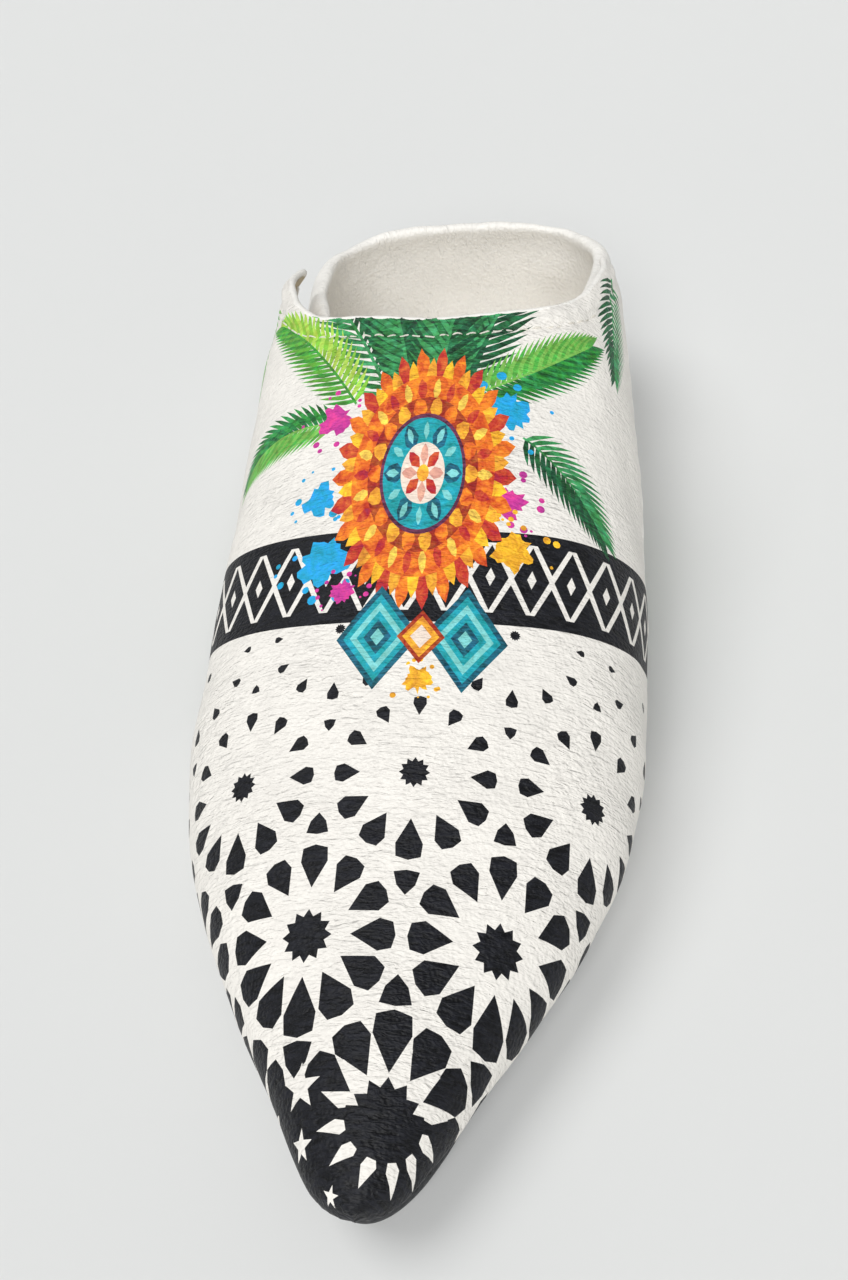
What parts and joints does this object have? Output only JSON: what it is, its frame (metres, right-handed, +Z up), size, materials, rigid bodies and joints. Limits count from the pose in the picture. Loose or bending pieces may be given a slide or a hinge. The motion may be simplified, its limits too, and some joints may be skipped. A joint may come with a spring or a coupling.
{
  "type": "babouche slipper",
  "caption": "Soft leather slipper with a long pointed vamp, open side wings, low quarters, a standing heel piece and a flat rounded leather outsole.",
  "frame": {"origin": "on the floor, at the middle of the shoe's length and width", "axes": "toe along -Y, heel along +Y, +Z up, +X to the right seen from behind the toe looking towards the heel"},
  "size_m": [0.109, 0.298, 0.0766],
  "materials": {
    "sole_leather": "black pebbled leather with a soft sheen",
    "insole_leather": "smooth cream leather",
    "printed_leather": "off-white printed leather with fine cross wrinkles",
    "white_leather": "soft plain off-white leather",
    "lining": "matt beige lining skin",
    "thread": "waxed black sewing thread"
  },
  "bodies": {
    "root": {"outsole": "sole_leather", "insole": "insole_leather", "upper": "printed_leather", "heel_piece": "white_leather"}
  },
  "joints": []
}
